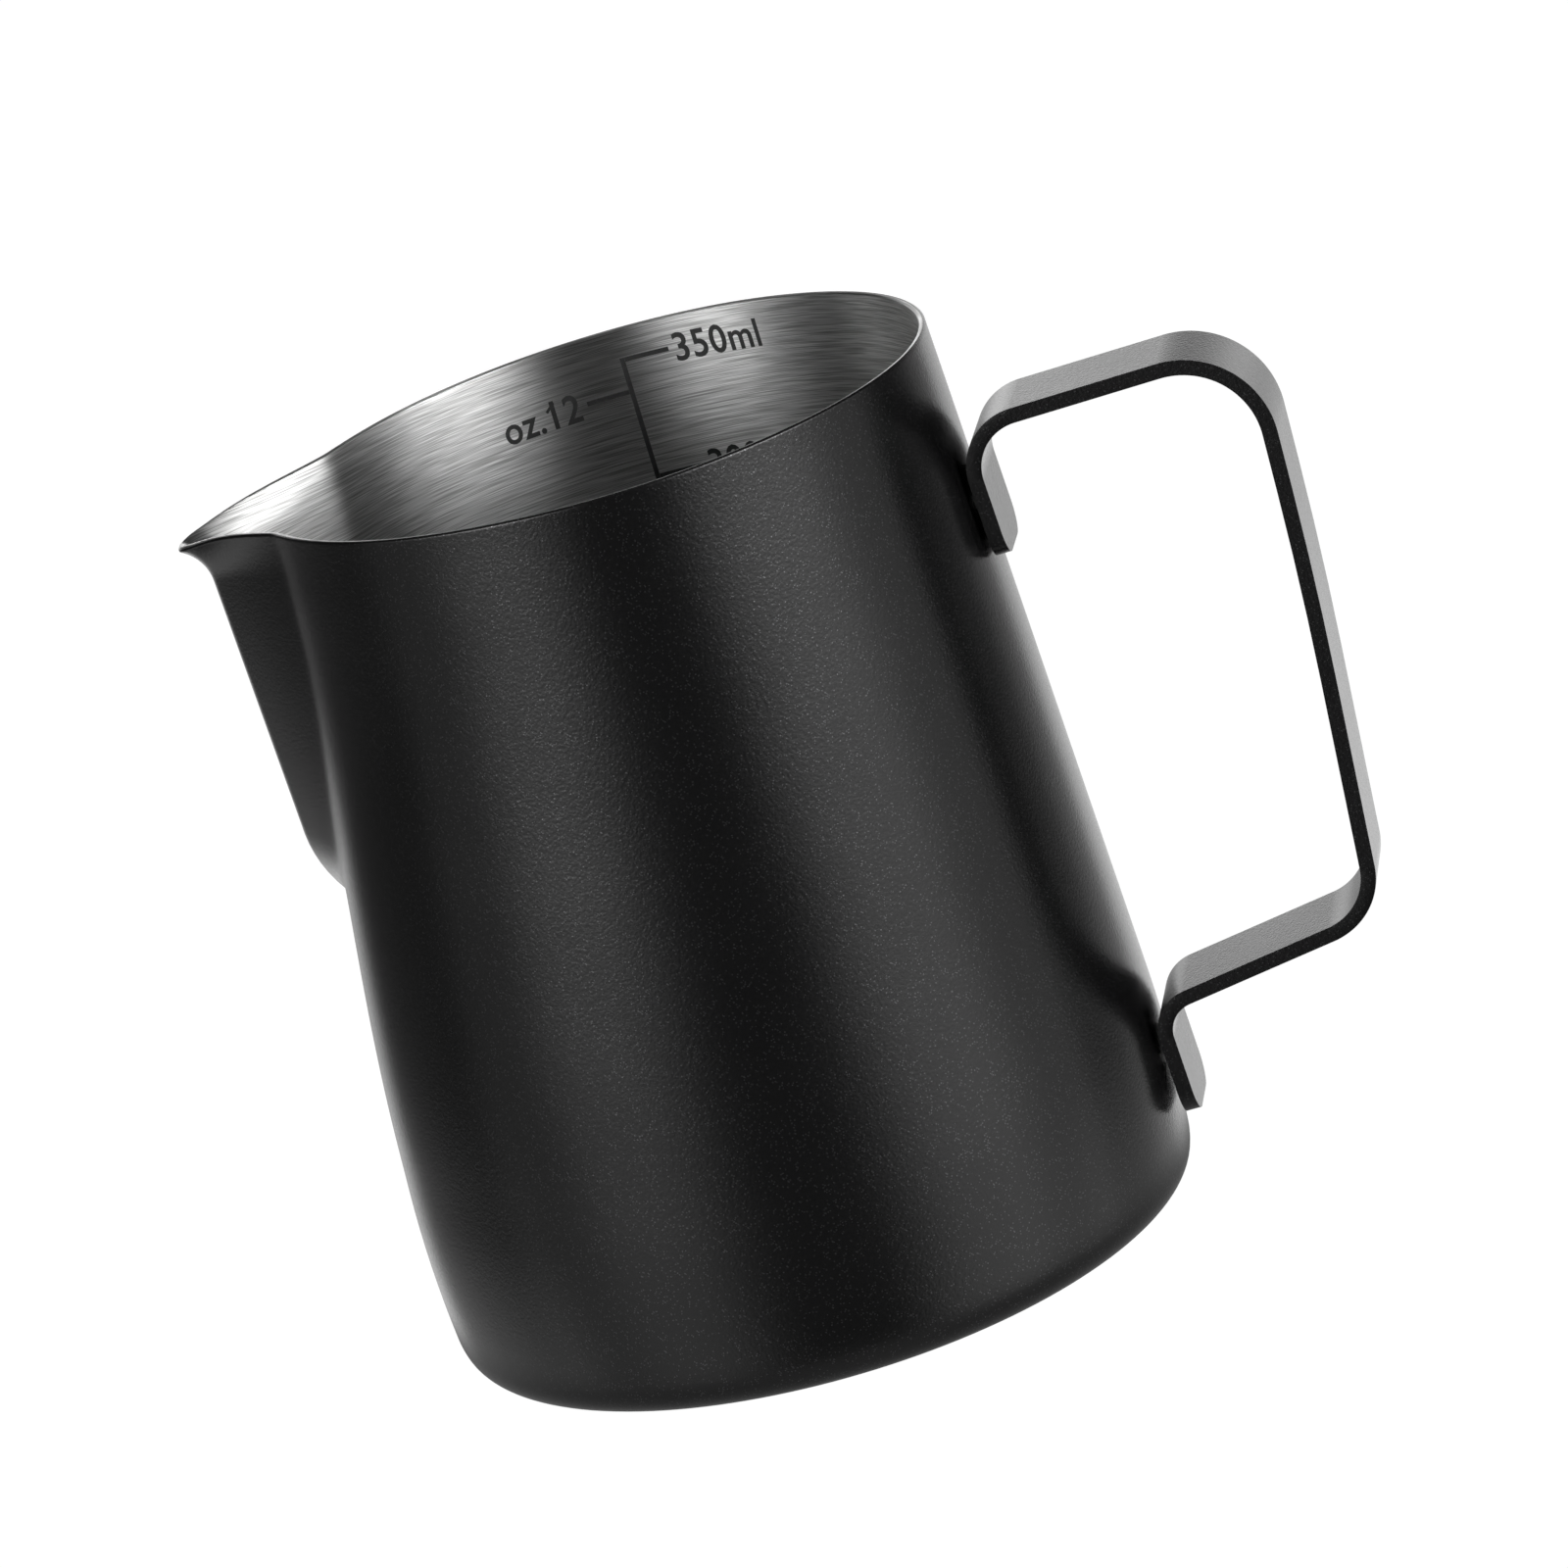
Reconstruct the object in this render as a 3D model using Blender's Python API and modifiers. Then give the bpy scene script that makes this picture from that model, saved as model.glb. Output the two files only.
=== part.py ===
"""Milk frothing pitcher: a deep drawn steel vessel with a pressed spout and a welded strap handle.

Metres, +Z up. The origin is the centre of the flat base. The spout points along -X, the handle
along +X, and the pitcher is symmetric about the XZ plane. Lengths below are in millimetres and
angles in degrees, and both are converted where the meshes are made. An angle round the vessel
is counted from the spout, so 0 is -X and 180 is +X.
"""

import math

import bmesh
import bpy
from mathutils import Vector

MM = 0.001
MERGE = 0.00005

# Vessel: overall size, and the outline of its wall from the rim down to the base.
HEIGHT = 90.0
RIM_RADIUS = 34.7
WALL_THICKNESS = 0.7
TAPER = 3.0
BELLY_RADIUS, BELLY_END = 118.0, -4.7
HEEL_RADIUS, HEEL_END = 6.6, -17.7
CORNER_RADIUS, CORNER_END = 3.2, -90.0

# The wall beside the spout is drawn in, most at the front, and less towards the base.
DRAW_DEPTH = 2.7
DRAW_FULL_ANGLE, DRAW_NO_ANGLE = 28.0, 115.0
DRAW_NO_HEIGHT, DRAW_FULL_HEIGHT = 24.5, 79.0

# Spout: a V with a rounded nose. Its front edge rises from a rounded chin to a curled lip.
CHIN_HEIGHT, CHIN_RADIUS = 56.2, 11.5
FRONT_AT_CHIN, FRONT_LEAN = 38.9, 2.3
NOSE_RADIUS = 4.5
FLANK_AT_CHIN, FLANK_TURN = 57.2, 0.33
CREASE_BLEND = 0.35
LIP_LENGTH, LIP_CURL, LIP_WIDTH, LIP_FADE = 4.6, 67.0, 10.5, 2.5
RIM_DROP, RIM_DROP_REACH, RIM_DROP_ROUND = 1.9, 30.0, 5.0
BEAK_DROP, BEAK_WIDTH = 0.7, 7.0

# Handle: one strip bent in the XZ plane. Each bend is its corner, (x, z), and its radius there.
STRAP_WIDTH, STRAP_THICKNESS = 10.7, 1.5
STRAP_EDGE = 0.55
WELD_GAP = 0.36
TAB_ROUNDING = 2.7
UPPER_TAB_END, LOWER_TAB_END = 67.4, 7.7
UPPER_BEND_HEIGHT, UPPER_BEND_RADIUS = 80.8, 5.4
LOWER_BEND_HEIGHT, LOWER_BEND_RADIUS = 19.3, 3.7
GRIP_TOP, GRIP_TOP_RADIUS = (65.3, 82.5), 8.4
GRIP_MIDDLE, GRIP_MIDDLE_RADIUS = (64.95, 58.0), 420.0
GRIP_BOTTOM, GRIP_BOTTOM_RADIUS = (62.9, 23.95), 6.4

# Spot welds between the tabs and the wall, by the height of their centres.
WELD_RADIUS, WELD_THICKNESS = 1.6, 0.2
WELD_HEIGHTS = {"upper_weld_high": 74.6, "upper_weld_low": 70.0,
                "lower_weld_high": 14.6, "lower_weld_low": 10.4}

# How finely the curved surfaces are cut up.
HALF_COLUMNS, COLUMN_CROWDING = 28, 1.7
CONE_ROWS, LIP_ROWS, ARC_ROWS = 17, 5, (5, 2, 5)
BEND_STEP = 12.0
TAB_END_STEPS = 4

BLACK_COATING = ((0.012, 0.012, 0.013), 0.42, 0.0)
BARE_STEEL = ((0.56, 0.55, 0.53), 0.3, 1.0)


def smooth_step(value, start, end):
    """0 at start and 1 at end, level at both."""
    t = min(max((value - start) / (end - start), 0.0), 1.0)
    return t * t * (3.0 - 2.0 * t)


def smooth_max(a, b, width):
    """The larger of a and b, with the corner between them rounded over about this width."""
    return 0.5 * (a + b + math.sqrt((a - b) ** 2 + width * width))


def sin(angle):
    return math.sin(math.radians(angle))


def cos(angle):
    return math.cos(math.radians(angle))


def cone_radius(height):
    """The wall's outer radius on its straight, tapered stretch."""
    return RIM_RADIUS + (HEIGHT - height) * math.tan(math.radians(TAPER))


def lower_arcs():
    """The wall's points, (radius, height), round its three lower arcs, from the cone to the base."""
    arcs = zip((BELLY_RADIUS, HEEL_RADIUS, CORNER_RADIUS),
               (TAPER, BELLY_END, HEEL_END), (BELLY_END, HEEL_END, CORNER_END), ARC_ROWS)
    steps = []
    for radius, start, end, rows in arcs:
        turned = [start + (end - start) * row / rows for row in range(rows + 1)]
        for first, last in zip(turned, turned[1:]):
            steps.append((radius * (cos(last) - cos(first)), radius * (sin(first) - sin(last))))
    height = sum(drop for _, drop in steps)
    points = [(cone_radius(height), height)]
    for widening, drop in steps:
        radius, height = points[-1]
        points.append((radius + widening, height - drop))
    return points


def drawn_in(angle, height):
    """How far the wall is drawn in at this angle from the spout and this height."""
    round_vessel = smooth_step(angle, DRAW_NO_ANGLE, DRAW_FULL_ANGLE)
    return DRAW_DEPTH * round_vessel * smooth_step(height, DRAW_NO_HEIGHT, DRAW_FULL_HEIGHT)


def front_edge(height):
    """How far the spout's front edge stands from the axis."""
    front = FRONT_AT_CHIN + (height - CHIN_HEIGHT) * math.tan(math.radians(FRONT_LEAN))
    if height >= CHIN_HEIGHT:
        return front
    below = min((CHIN_HEIGHT - height) / CHIN_RADIUS, 1.0)
    return FRONT_AT_CHIN - CHIN_RADIUS * (1.0 - math.sqrt(1.0 - below * below))


def spout_radius(angle, height):
    """The V's radius at this angle: a rounded nose, then a straight flank."""
    flank = FLANK_AT_CHIN - FLANK_TURN * (height - CHIN_HEIGHT)
    nose_centre = front_edge(height) - NOSE_RADIUS
    nose_end = math.degrees(math.atan2(NOSE_RADIUS * cos(flank),
                                       nose_centre + NOSE_RADIUS * sin(flank)))
    if angle < nose_end:
        across = nose_centre * sin(angle)
        return nose_centre * cos(angle) + math.sqrt(NOSE_RADIUS ** 2 - across ** 2)
    from_axis = nose_centre * sin(flank) + NOSE_RADIUS
    return from_axis / sin(min(angle, 90.0 - flank) + flank)


def vessel_radius(angle, height, round_radius):
    """The outer radius at this angle and height, where the plain round wall has round_radius."""
    wall = round_radius - drawn_in(angle, height)
    if height < CHIN_HEIGHT - CHIN_RADIUS:
        return wall
    return smooth_max(wall, spout_radius(angle, height), CREASE_BLEND)


def rim_height(angle):
    """The height of the rim before the lip is curled: it sinks a little towards the spout."""
    reach = math.hypot(angle, RIM_DROP_ROUND) - RIM_DROP_ROUND
    sunk = RIM_DROP * math.exp(-reach / RIM_DROP_REACH)
    return HEIGHT - sunk - BEAK_DROP * math.exp(-((angle / BEAK_WIDTH) ** 2))


def meridian(angle):
    """One line of the outer skin, (radius, height), from the rim's edge down to the base's edge."""
    arcs = lower_arcs()
    bottom, top = arcs[0][1], rim_height(angle) - LIP_LENGTH
    cone = [bottom + (top - bottom) * row / CONE_ROWS for row in range(CONE_ROWS, 0, -1)]
    points = [(vessel_radius(angle, z, cone_radius(z)), z) for z in cone]
    points += [(vessel_radius(angle, z, radius), z) for radius, z in arcs]
    curl = LIP_CURL / (1.0 + (angle / LIP_WIDTH) ** LIP_FADE)
    out, up = 0.0, top
    step = LIP_LENGTH / LIP_ROWS
    for row in range(LIP_ROWS):
        tilt = curl * (row + 0.5) / LIP_ROWS
        out += step * sin(tilt)
        up += step * cos(tilt)
        straight = top + step * (row + 1)
        points.insert(0, (vessel_radius(angle, straight, cone_radius(straight)) + out, up))
    return points


def material(name, finish):
    colour, roughness, metallic = finish
    made = bpy.data.materials.new(name)
    made.use_nodes = True
    shader = made.node_tree.nodes["Principled BSDF"]
    shader.inputs["Base Color"].default_value = (*colour, 1.0)
    shader.inputs["Roughness"].default_value = roughness
    shader.inputs["Metallic"].default_value = metallic
    return made


def add_object(name, mesh_source, finish, collection):
    """Turns a bmesh, in millimetres, into a named object in metres with smooth shading."""
    for vertex in mesh_source.verts:
        vertex.co *= MM
    mesh = bpy.data.meshes.new(name)
    mesh_source.to_mesh(mesh)
    mesh_source.free()
    mesh.shade_smooth()
    mesh.set_sharp_from_angle(angle=math.radians(40.0))
    made = bpy.data.objects.new(name, mesh)
    made.data.materials.append(finish)
    collection.objects.link(made)
    return made


def add_solidify(made, thickness, offset):
    modifier = made.modifiers.new("Thickness", "SOLIDIFY")
    modifier.thickness = thickness * MM
    modifier.offset = offset
    modifier.use_even_offset = True
    return modifier


def make_vessel(collection, finish):
    """Half of the outer skin, lofted between the meridians, then mirrored and thickened inwards."""
    angles = [180.0 * (column / HALF_COLUMNS) ** COLUMN_CROWDING
              for column in range(HALF_COLUMNS + 1)]
    mesh = bmesh.new()
    columns = []
    for angle in angles:
        on_plane = angle in (0.0, 180.0)
        columns.append([
            mesh.verts.new((-radius * cos(angle), 0.0 if on_plane else -radius * sin(angle), z))
            for radius, z in meridian(angle)
        ])
    for here, there in zip(columns, columns[1:]):
        for row in range(len(here) - 1):
            mesh.faces.new((here[row], here[row + 1], there[row + 1], there[row]))
    for column in columns:
        column[-1].co.z = 0.0
    mesh.faces.new([column[-1] for column in reversed(columns)])
    made = add_object("vessel_shell", mesh, finish, collection)
    mirror = made.modifiers.new("Other half", "MIRROR")
    mirror.use_axis = (False, True, False)
    mirror.merge_threshold = MERGE
    add_solidify(made, WALL_THICKNESS, -1.0)
    return made


def tab_line(height):
    """The middle of a tab's thickness: parallel to the tapered wall, the weld's gap off it."""
    return cone_radius(height) + (WELD_GAP + 0.5 * STRAP_THICKNESS) / cos(TAPER)


def strap_path():
    """The strip's middle line in the XZ plane, from the upper tab's end to the lower tab's end."""
    corners = [
        ((tab_line(UPPER_TAB_END), UPPER_TAB_END), 0.0),
        ((tab_line(UPPER_BEND_HEIGHT), UPPER_BEND_HEIGHT), UPPER_BEND_RADIUS),
        (GRIP_TOP, GRIP_TOP_RADIUS),
        (GRIP_MIDDLE, GRIP_MIDDLE_RADIUS),
        (GRIP_BOTTOM, GRIP_BOTTOM_RADIUS),
        ((tab_line(LOWER_BEND_HEIGHT), LOWER_BEND_HEIGHT), LOWER_BEND_RADIUS),
        ((tab_line(LOWER_TAB_END), LOWER_TAB_END), 0.0),
    ]
    path = [Vector(corners[0][0])]
    for (before, _), (corner, radius), (after, _) in zip(corners, corners[1:], corners[2:]):
        corner = Vector(corner)
        towards = (corner - Vector(before)).normalized()
        away = (Vector(after) - corner).normalized()
        turn = towards.angle_signed(away)
        side = Vector((-towards.y, towards.x)) * (-1.0 if turn > 0.0 else 1.0)
        start = corner - towards * radius * math.tan(abs(turn) / 2.0)
        steps = max(3, math.ceil(math.degrees(abs(turn)) / BEND_STEP))
        for step in range(steps + 1):
            part = abs(turn) * step / steps
            path.append(start + towards * radius * math.sin(part)
                        + side * radius * (1.0 - math.cos(part)))
    path.append(Vector(corners[-1][0]))
    return path


def tab_end(end, inside):
    """Rows, (point, half width), round the two corners at a tab's end, from the end inwards."""
    along = (inside - end).normalized()
    rows = []
    for step in range(TAB_END_STEPS + 1):
        turned = 90.0 * step / TAB_END_STEPS
        point = end + along * TAB_ROUNDING * (1.0 - cos(turned))
        rows.append((point, STRAP_WIDTH / 2.0 - TAB_ROUNDING * (1.0 - sin(turned))))
    return rows


def make_strap(collection, finish):
    """A ribbon along the middle line, thickened both ways, with its long edges rounded."""
    path = strap_path()
    rows = tab_end(path[0], path[1])
    rows += [(point, STRAP_WIDTH / 2.0) for point in path[1:-1]]
    rows += reversed(tab_end(path[-1], path[-2]))
    mesh = bmesh.new()
    near = [mesh.verts.new((point.x, -half, point.y)) for point, half in rows]
    far = [mesh.verts.new((point.x, half, point.y)) for point, half in rows]
    for row in range(len(rows) - 1):
        mesh.faces.new((near[row], near[row + 1], far[row + 1], far[row]))
    made = add_object("handle_strap", mesh, finish, collection)
    add_solidify(made, STRAP_THICKNESS, 0.0)
    bevel = made.modifiers.new("Rolled edges", "BEVEL")
    bevel.width = STRAP_EDGE * MM
    bevel.segments = 2
    bevel.limit_method = "ANGLE"
    bevel.angle_limit = math.radians(60.0)
    return made


def make_weld(name, height, collection, finish):
    """A thin disc square to the wall, in the middle of the gap under a tab."""
    mesh = bmesh.new()
    bmesh.ops.create_cone(mesh, cap_ends=True, segments=24, radius1=WELD_RADIUS,
                          radius2=WELD_RADIUS, depth=WELD_THICKNESS)
    made = add_object(name, mesh, finish, collection)
    from_axis = cone_radius(height) + 0.5 * WELD_GAP / cos(TAPER)
    made.location = Vector((from_axis, 0.0, height)) * MM
    made.rotation_euler = (0.0, math.radians(90.0 - TAPER), 0.0)
    return made


def main():
    for old in list(bpy.data.objects):
        bpy.data.objects.remove(old, do_unlink=True)
    collection = bpy.data.collections.new("milk_frothing_pitcher")
    bpy.context.scene.collection.children.link(collection)
    coating = material("black_coating", BLACK_COATING)
    steel = material("bare_steel", BARE_STEEL)
    make_vessel(collection, coating)
    make_strap(collection, coating)
    for name, height in WELD_HEIGHTS.items():
        make_weld(name, height, collection, steel)


main()
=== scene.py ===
"""The finished look of a milk frothing pitcher: coated outside, brushed steel inside.

Metres, +Z up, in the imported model's frame: origin at the centre of the base, spout along -X,
handle along +X, symmetric about the XZ plane. The shape's constants and functions repeat the
model's own, in millimetres and degrees, and make the same forms with many more points.
An angle round the vessel is counted from the spout, so 0 is -X and 180 is +X.
"""

import math

import bmesh
import bpy
import numpy as np
from mathutils import Matrix, Vector


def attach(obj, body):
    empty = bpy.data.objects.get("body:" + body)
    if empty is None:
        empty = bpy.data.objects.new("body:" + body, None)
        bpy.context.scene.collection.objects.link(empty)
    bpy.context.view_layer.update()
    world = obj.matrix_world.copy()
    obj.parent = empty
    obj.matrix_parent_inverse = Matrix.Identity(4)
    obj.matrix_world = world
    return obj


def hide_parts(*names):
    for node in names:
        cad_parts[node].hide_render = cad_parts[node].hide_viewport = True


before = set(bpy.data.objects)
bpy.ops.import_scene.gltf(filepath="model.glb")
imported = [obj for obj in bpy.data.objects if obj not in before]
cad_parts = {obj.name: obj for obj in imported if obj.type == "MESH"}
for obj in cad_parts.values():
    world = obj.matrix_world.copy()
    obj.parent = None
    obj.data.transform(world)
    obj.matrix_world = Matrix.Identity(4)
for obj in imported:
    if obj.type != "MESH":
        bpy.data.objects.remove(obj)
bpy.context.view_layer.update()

MM = 0.001

# The vessel's outer form.
HEIGHT = 90.0
RIM_RADIUS = 34.7
WALL_THICKNESS = 0.7
TAPER = 3.0
BELLY_RADIUS, BELLY_END = 118.0, -4.7
HEEL_RADIUS, HEEL_END = 6.6, -17.7
CORNER_RADIUS, CORNER_END = 3.2, -90.0
DRAW_DEPTH = 2.7
DRAW_FULL_ANGLE, DRAW_NO_ANGLE = 28.0, 115.0
DRAW_NO_HEIGHT, DRAW_FULL_HEIGHT = 24.5, 79.0
CHIN_HEIGHT, CHIN_RADIUS = 56.2, 11.5
FRONT_AT_CHIN, FRONT_LEAN = 38.9, 2.3
NOSE_RADIUS = 4.5
FLANK_AT_CHIN, FLANK_TURN = 57.2, 0.33
CREASE_BLEND = 0.35
LIP_LENGTH, LIP_CURL, LIP_WIDTH, LIP_FADE = 4.6, 67.0, 10.5, 2.5
RIM_DROP, RIM_DROP_REACH, RIM_DROP_ROUND = 1.9, 30.0, 5.0
BEAK_DROP, BEAK_WIDTH = 0.7, 7.0

# The coating is a film over the steel. It wraps over the rounded rim as far as COATED_RIM, an
# angle round its edge, and the steel starts there.
COATING = 0.05
COATING_SINK = 0.02
RIM_ROUND = 0.24
RIM_STEP = 15.0
COATED_RIM = 75.0

# The handle's strap: its section, the gap that the welds bridge and the corners of its tabs. The
# short edges round the tabs limit the bevel, so its rounding comes out at about 0.02 mm.
STRAP_WIDTH, STRAP_THICKNESS = 10.7, 1.5
STRAP_EDGE, STRAP_EDGE_STEPS, STRAP_EDGE_ANGLE = 0.42, 5, 60.0
WELD_GAP = 0.36
TAB_ROUNDING, TAB_END_STEPS = 2.7, 12
# The corners of its centre line, (out, up), each with the radius of its bend. Those of the tabs
# are given by height alone, since they lie along the wall.
UPPER_TAB_END, LOWER_TAB_END = 67.4, 7.7
UPPER_BEND_HEIGHT, UPPER_BEND_RADIUS = 80.8, 5.4
LOWER_BEND_HEIGHT, LOWER_BEND_RADIUS = 19.3, 3.7
GRIP_TOP, GRIP_TOP_RADIUS = (65.3, 82.5), 8.4
GRIP_MIDDLE, GRIP_MIDDLE_RADIUS = (64.95, 58.0), 420.0
GRIP_BOTTOM, GRIP_BOTTOM_RADIUS = (62.9, 23.95), 6.4
BEND_STEP, BEND_FEWEST_STEPS = 3.0, 3

# Fineness of the vessel's mesh: columns near the spout, columns over the rest, rows down a column.
SPOUT_ANGLE, SPOUT_COLUMNS, OTHER_COLUMNS = 42.0, 84, 60
LIP_ROWS, CONE_ROWS, ARC_ROWS, BASE_RINGS = 12, 58, (8, 4, 12), 8
# A row on the cone. Its normals tell which way is outward.
CONE_ROW = 40

# Graduations, printed on the far inner wall. Bearings are anticlockwise from +X, in degrees.
MARK_FILM, MARK_SINK = 0.015, 0.03
# Marks are cut into strips this wide, and bars into rows this high, to follow the wall.
MARK_CUT, BAR_CUT, BAR_FEWEST_ROWS = 0.6, 2.0, 2
SPINE_BEARING, SPINE_TOP, SPINE_BOTTOM = 92.7, 86.5, 22.0
LINE_WIDTH, LINE_GAP = 0.48, 0.01
ML_LINES = {350: 86.5, 300: 73.7, 250: 60.6, 200: 48.1, 150: 36.0, 100: 24.2}
OZ_LINES = {12: 83.1, 8: 55.2, 4: 27.5}
ML_LINE_END, ML_TEXT_START = 84.8, 83.7
OZ_LINE_END, OZ_TEXT_END = 100.4, 101.9
TEXT_HEIGHT, TEXT_STRETCH = 2.95, 0.90
# The lettering, in units of the font's size. A letter this many times as tall as wide is a 1.
FONT_CAP_HEIGHT, FONT_BOLD, FONT_SPACING = 0.7, 0.016, 1.06
FONT_HALF_DEPTH, FONT_CURVE_STEPS, FONT_MERGE = 0.5, 4, 0.0001
ONE_SHAPE = 3.0
FLAG_LENGTH, FLAG_WEIGHT, FLAG_SLOPE = 0.19, 0.075, 38.0

# Camera: bearing from -Y towards +X, height angle, roll, framing offset and distance (mm), then
# the lens and sensor (mm) and how near and far it sees (m).
CAMERA_BEARING, CAMERA_RISE, CAMERA_ROLL = 11.743, 16.183, -16.44
CAMERA_OFFSET, CAMERA_DISTANCE = (-7.55, 5.62), 743.1
CAMERA_LENS, CAMERA_SENSOR = 172.845, 36.0
CAMERA_NEAR, CAMERA_FAR = 0.01, 20.0


def sin(angle):
    return math.sin(math.radians(angle))


def cos(angle):
    return math.cos(math.radians(angle))


def smooth_step(value, start, end):
    t = min(max((value - start) / (end - start), 0.0), 1.0)
    return t * t * (3.0 - 2.0 * t)


def smooth_max(a, b, width):
    return 0.5 * (a + b + math.sqrt((a - b) ** 2 + width * width))


def cone_radius(height):
    return RIM_RADIUS + (HEIGHT - height) * math.tan(math.radians(TAPER))


def lower_arcs():
    """Points of the wall, (radius, height), round its three lower arcs, from the cone down."""
    arcs = zip((BELLY_RADIUS, HEEL_RADIUS, CORNER_RADIUS),
               (TAPER, BELLY_END, HEEL_END), (BELLY_END, HEEL_END, CORNER_END), ARC_ROWS)
    steps = []
    for radius, start, end, rows in arcs:
        turned = [start + (end - start) * row / rows for row in range(rows + 1)]
        for first, last in zip(turned, turned[1:]):
            steps.append((radius * (cos(last) - cos(first)), radius * (sin(first) - sin(last))))
    height = sum(drop for _, drop in steps)
    points = [(cone_radius(height), height)]
    for widening, drop in steps:
        radius, height = points[-1]
        points.append((radius + widening, height - drop))
    return points


def drawn_in(angle, height):
    """How far the round wall is drawn in towards the spout."""
    round_vessel = smooth_step(angle, DRAW_NO_ANGLE, DRAW_FULL_ANGLE)
    return DRAW_DEPTH * round_vessel * smooth_step(height, DRAW_NO_HEIGHT, DRAW_FULL_HEIGHT)


def front_edge(height):
    """How far the spout's front edge stands out from the axis."""
    front = FRONT_AT_CHIN + (height - CHIN_HEIGHT) * math.tan(math.radians(FRONT_LEAN))
    if height >= CHIN_HEIGHT:
        return front
    below = min((CHIN_HEIGHT - height) / CHIN_RADIUS, 1.0)
    return FRONT_AT_CHIN - CHIN_RADIUS * (1.0 - math.sqrt(1.0 - below * below))


def spout_radius(angle, height):
    """The radius of the spout's surface: a round nose between two flat flanks."""
    flank = FLANK_AT_CHIN - FLANK_TURN * (height - CHIN_HEIGHT)
    nose_centre = front_edge(height) - NOSE_RADIUS
    nose_end = math.degrees(math.atan2(NOSE_RADIUS * cos(flank),
                                       nose_centre + NOSE_RADIUS * sin(flank)))
    if angle < nose_end:
        across = nose_centre * sin(angle)
        return nose_centre * cos(angle) + math.sqrt(NOSE_RADIUS ** 2 - across ** 2)
    from_axis = nose_centre * sin(flank) + NOSE_RADIUS
    return from_axis / sin(min(angle, 90.0 - flank) + flank)


def vessel_radius(angle, height, round_radius):
    wall = round_radius - drawn_in(angle, height)
    if height < CHIN_HEIGHT - CHIN_RADIUS:
        return wall
    return smooth_max(wall, spout_radius(angle, height), CREASE_BLEND)


def rim_height(angle):
    reach = math.hypot(angle, RIM_DROP_ROUND) - RIM_DROP_ROUND
    sunk = RIM_DROP * math.exp(-reach / RIM_DROP_REACH)
    return HEIGHT - sunk - BEAK_DROP * math.exp(-((angle / BEAK_WIDTH) ** 2))


def meridian(angle):
    """One line of the outer skin, (radius, height), from the rim's edge to the base's centre."""
    arcs = lower_arcs()
    bottom, top = arcs[0][1], rim_height(angle) - LIP_LENGTH
    curl = LIP_CURL / (1.0 + (angle / LIP_WIDTH) ** LIP_FADE)
    step = LIP_LENGTH / LIP_ROWS
    out, up = 0.0, top
    lip = []
    for row in range(LIP_ROWS):
        tilt = curl * (row + 0.5) / LIP_ROWS
        out += step * sin(tilt)
        up += step * cos(tilt)
        straight = top + step * (row + 1)
        lip.append((vessel_radius(angle, straight, cone_radius(straight)) + out, up))
    cone = [bottom + (top - bottom) * row / CONE_ROWS for row in range(CONE_ROWS, 0, -1)]
    points = lip[::-1] + [(vessel_radius(angle, z, cone_radius(z)), z) for z in cone]
    points += [(vessel_radius(angle, z, radius), z) for radius, z in arcs]
    edge = points[-1][0]
    points[-1] = (edge, 0.0)
    points += [(edge * (1.0 - ring / BASE_RINGS), 0.0) for ring in range(1, BASE_RINGS)]
    return points


def column_angles():
    """Angles round the vessel, from the spout round the +Y side and back along the -Y side."""
    half = [SPOUT_ANGLE * column / SPOUT_COLUMNS for column in range(SPOUT_COLUMNS)]
    half += [SPOUT_ANGLE + (180.0 - SPOUT_ANGLE) * column / OTHER_COLUMNS
             for column in range(OTHER_COLUMNS + 1)]
    return np.array(half + [360.0 - angle for angle in half[-2:0:-1]])


def outer_skin():
    """Points of the outer skin, [column, row], with their outward normals."""
    angles = column_angles()
    from_spout = [round(min(angle, 360.0 - angle), 6) for angle in angles]
    half = {angle: meridian(angle) for angle in dict.fromkeys(from_spout)}
    lines = np.array([half[angle] for angle in from_spout])
    turned = np.radians(angles)[:, None]
    skin = np.stack((-lines[..., 0] * np.cos(turned), lines[..., 0] * np.sin(turned),
                     lines[..., 1]), axis=-1)
    along = np.roll(skin, -1, axis=0) - np.roll(skin, 1, axis=0)
    down = np.gradient(skin, axis=1)
    normals = np.cross(along, down)
    normals /= np.linalg.norm(normals, axis=2, keepdims=True)
    normals *= np.sign((normals[:, CONE_ROW] * skin[:, CONE_ROW]).sum())
    normals[:, -BASE_RINGS:] = (0.0, 0.0, -1.0)
    return skin, normals


def new_object(name, data):
    """An object with this data, in the scene."""
    thing = bpy.data.objects.new(name, data)
    bpy.context.scene.collection.objects.link(thing)
    return thing


def mesh_from(build, name):
    """The finished mesh of what was built."""
    mesh = bpy.data.meshes.new(name)
    build.to_mesh(mesh)
    build.free()
    return mesh


def closed_mesh(name, loops, ends):
    """A closed body through rings of points, [ring, point], with a middle point for each end."""
    rings, count = loops.shape[:2]
    faces = []
    for ring in range(rings - 1):
        a, b = ring * count, (ring + 1) * count
        for k in range(count):
            n = (k + 1) % count
            faces.append((a + k, a + n, b + n, b + k))
    first, final = rings * count, rings * count + 1
    vertices = np.vstack((loops.reshape(-1, 3), ends))
    b = (rings - 1) * count
    for k in range(count):
        n = (k + 1) % count
        faces.append((first, n, k))
        faces.append((final, b + k, b + n))
    mesh = bpy.data.meshes.new(name)
    mesh.from_pydata([tuple(v * MM) for v in vertices], [], faces)
    tidy = bmesh.new()
    tidy.from_mesh(mesh)
    bmesh.ops.recalc_face_normals(tidy, faces=tidy.faces)
    tidy.to_mesh(mesh)
    tidy.free()
    mesh.shade_smooth()
    return mesh


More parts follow.
